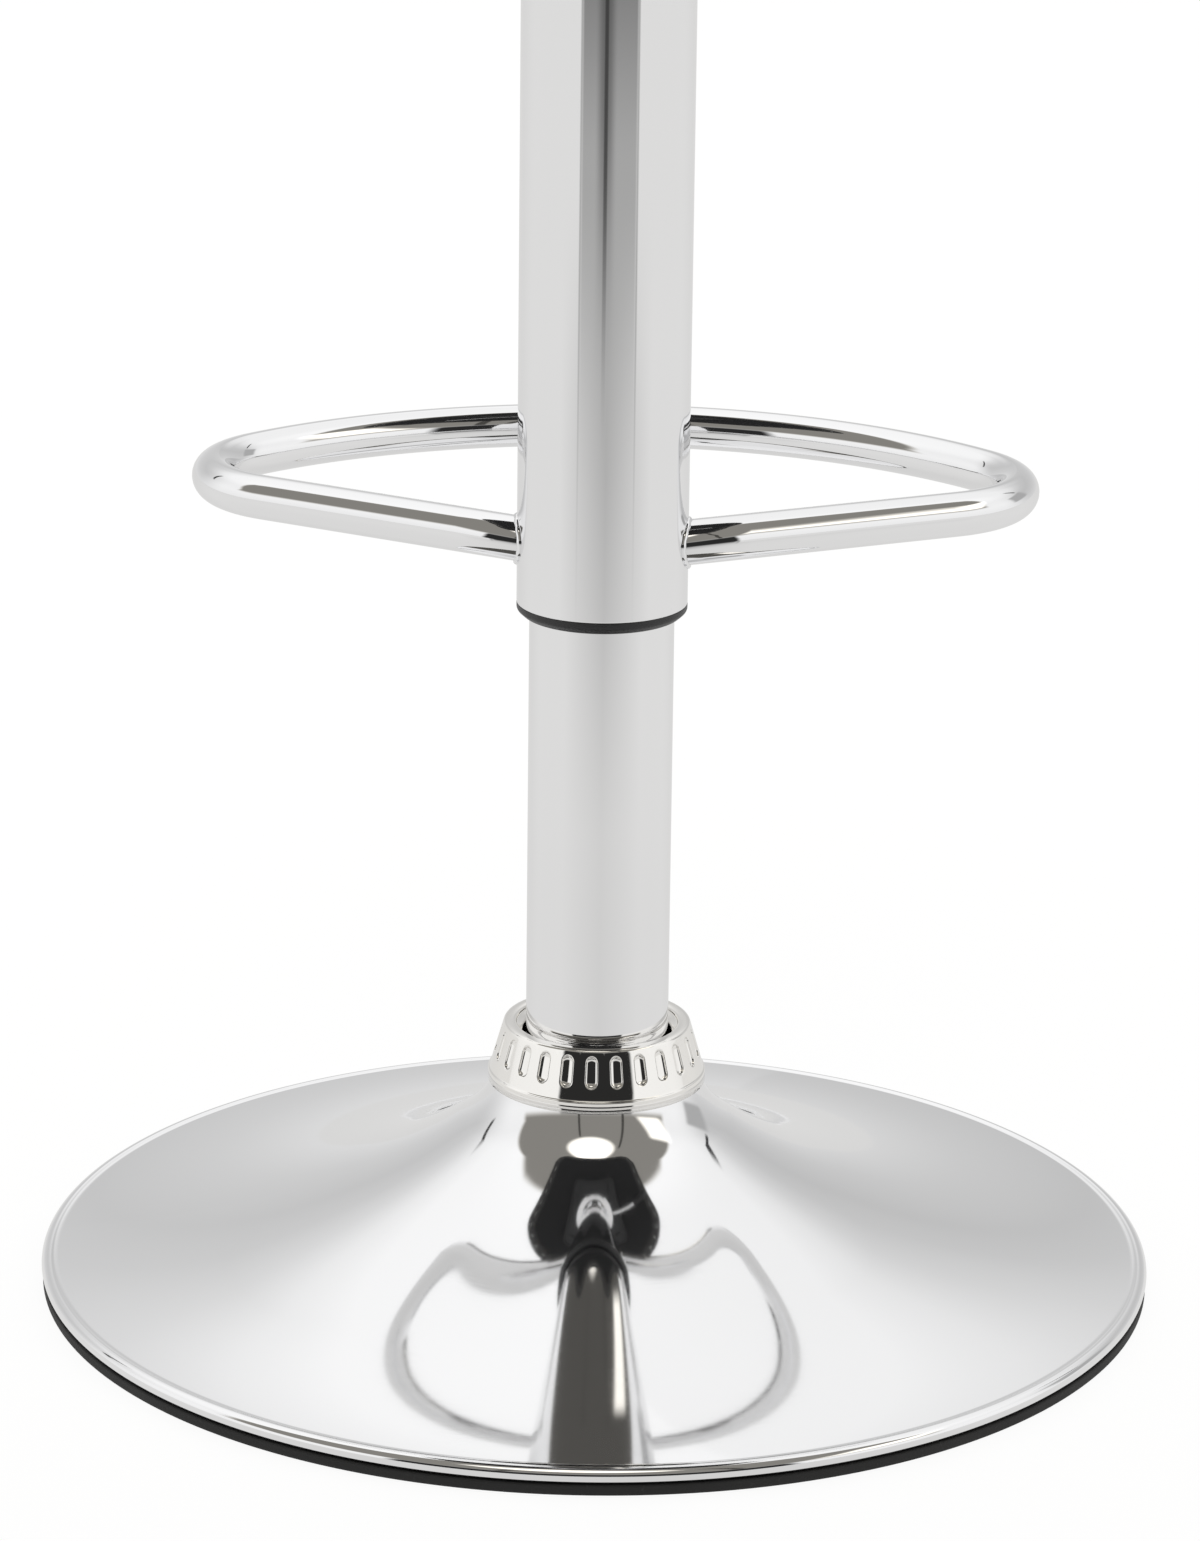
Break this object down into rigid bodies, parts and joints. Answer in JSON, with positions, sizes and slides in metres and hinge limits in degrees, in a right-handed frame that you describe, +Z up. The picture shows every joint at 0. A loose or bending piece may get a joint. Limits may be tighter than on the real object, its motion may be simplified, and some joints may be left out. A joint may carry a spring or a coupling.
{
  "type": "bar stool",
  "caption": "Swivelling bar stool on a chromed trumpet base, with a gas lift under a lever, a footrest loop on the sliding sleeve and a padded seat with a bowed front.",
  "frame": {"origin": "centre of the base on the floor, under the column", "axes": "+Z up along the column, +Y towards the footrest loop, +X towards the release lever"},
  "size_m": [0.4, 0.4, 0.7386],
  "materials": {
    "chrome": "polished",
    "collar_bright": "polished",
    "black_rubber": "matte",
    "black_plastic": "satin",
    "black_paint": "satin",
    "zinc_steel": "satin",
    "plywood": "matte",
    "foam": "matte",
    "dust_cloth": "matte",
    "black_leather": "satin"
  },
  "bodies": {
    "base": {"base_shell": "chrome", "base_gasket": "black_rubber", "base_plate": "black_paint", "hub_tube": "black_paint", "trim_collar": "collar_bright", "column_tube": "chrome", "column_floor": "zinc_steel", "column_bush": "black_plastic", "bearing_lower_race": "zinc_steel", "bearing_balls": "zinc_steel"},
    "swivel": {"bearing_upper_race": "zinc_steel", "piston_rod": "zinc_steel", "rod_clip": "zinc_steel", "piston": "zinc_steel", "piston_seal": "black_rubber"},
    "seat": {"gas_cylinder": "black_paint", "cylinder_gland": "zinc_steel", "sleeve_tube": "chrome", "sleeve_ring": "black_plastic", "footrest_loop": "chrome", "plate_cover": "chrome", "sleeve_cap": "black_plastic", "taper_socket": "black_paint", "lever_bracket": "black_paint", "lever_pin": "zinc_steel", "seat_plate": "black_paint", "plate_washers": "zinc_steel", "plate_bolts": "zinc_steel", "t_nuts": "zinc_steel", "dust_cloth": "dust_cloth", "seat_board": "plywood", "seat_foam": "foam", "seat_cover": "black_leather"},
    "lever": {"lever_rod": "chrome", "lever_grip": "black_plastic"},
    "release": {"release_pin": "zinc_steel"}
  },
  "joints": [
    {"name": "seat_swivel", "type": "hinge", "parent": "base", "child": "swivel", "pos_m": [0, 0, 0], "axis": [0, 0, 1], "continuous": true},
    {"name": "seat_lift", "type": "slide", "parent": "swivel", "child": "seat", "axis": [0, 0, 1], "range_m": [-0.14, 0.065]},
    {"name": "lever_lift", "type": "hinge", "parent": "seat", "child": "lever", "pos_m": [0.0286, 0, 0.6339], "axis": [0, -1, 0], "range_deg": [0, 8], "stiffness_Nm_per_rad": 4, "springref_deg": -2.86},
    {"name": "pin_press", "type": "slide", "parent": "seat", "child": "release", "axis": [0, 0, -1], "range_m": [0, 0.004]}
  ],
  "couplings": [
    {"joint": "pin_press", "follows": "lever_lift", "m_per_rad": 0.0286}
  ]
}
